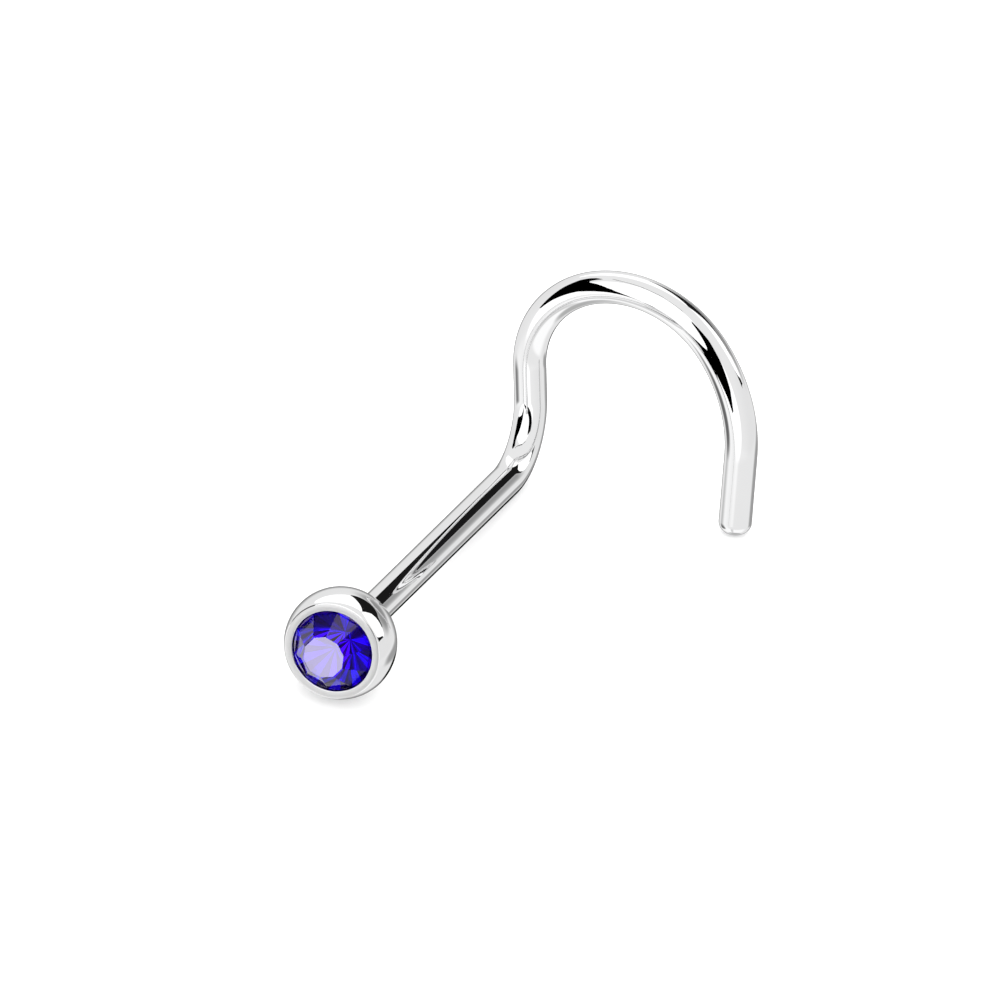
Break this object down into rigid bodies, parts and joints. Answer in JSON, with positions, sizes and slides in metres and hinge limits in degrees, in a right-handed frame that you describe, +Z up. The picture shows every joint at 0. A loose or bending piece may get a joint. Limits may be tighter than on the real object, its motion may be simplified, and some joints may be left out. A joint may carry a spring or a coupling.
{
  "type": "nose stud",
  "caption": "Screw-type nose stud: faceted blue stone in a polished steel ball on a straight post whose end bends into an open curl.",
  "frame": {"origin": "on the surface that the stud lies on, under the middle of its box", "axes": "+Z up from the surface, +Y along the post's run from the ball to the screw, the stone faces -Y"},
  "size_m": [0.0054, 0.0096, 0.0044],
  "materials": {
    "polished_steel": "mirror-polished surgical steel",
    "blue_stone": "faceted, polished, foil behind the pavilion"
  },
  "bodies": {
    "root": {"setting_and_screw": "polished_steel", "stone": "blue_stone"}
  },
  "joints": []
}
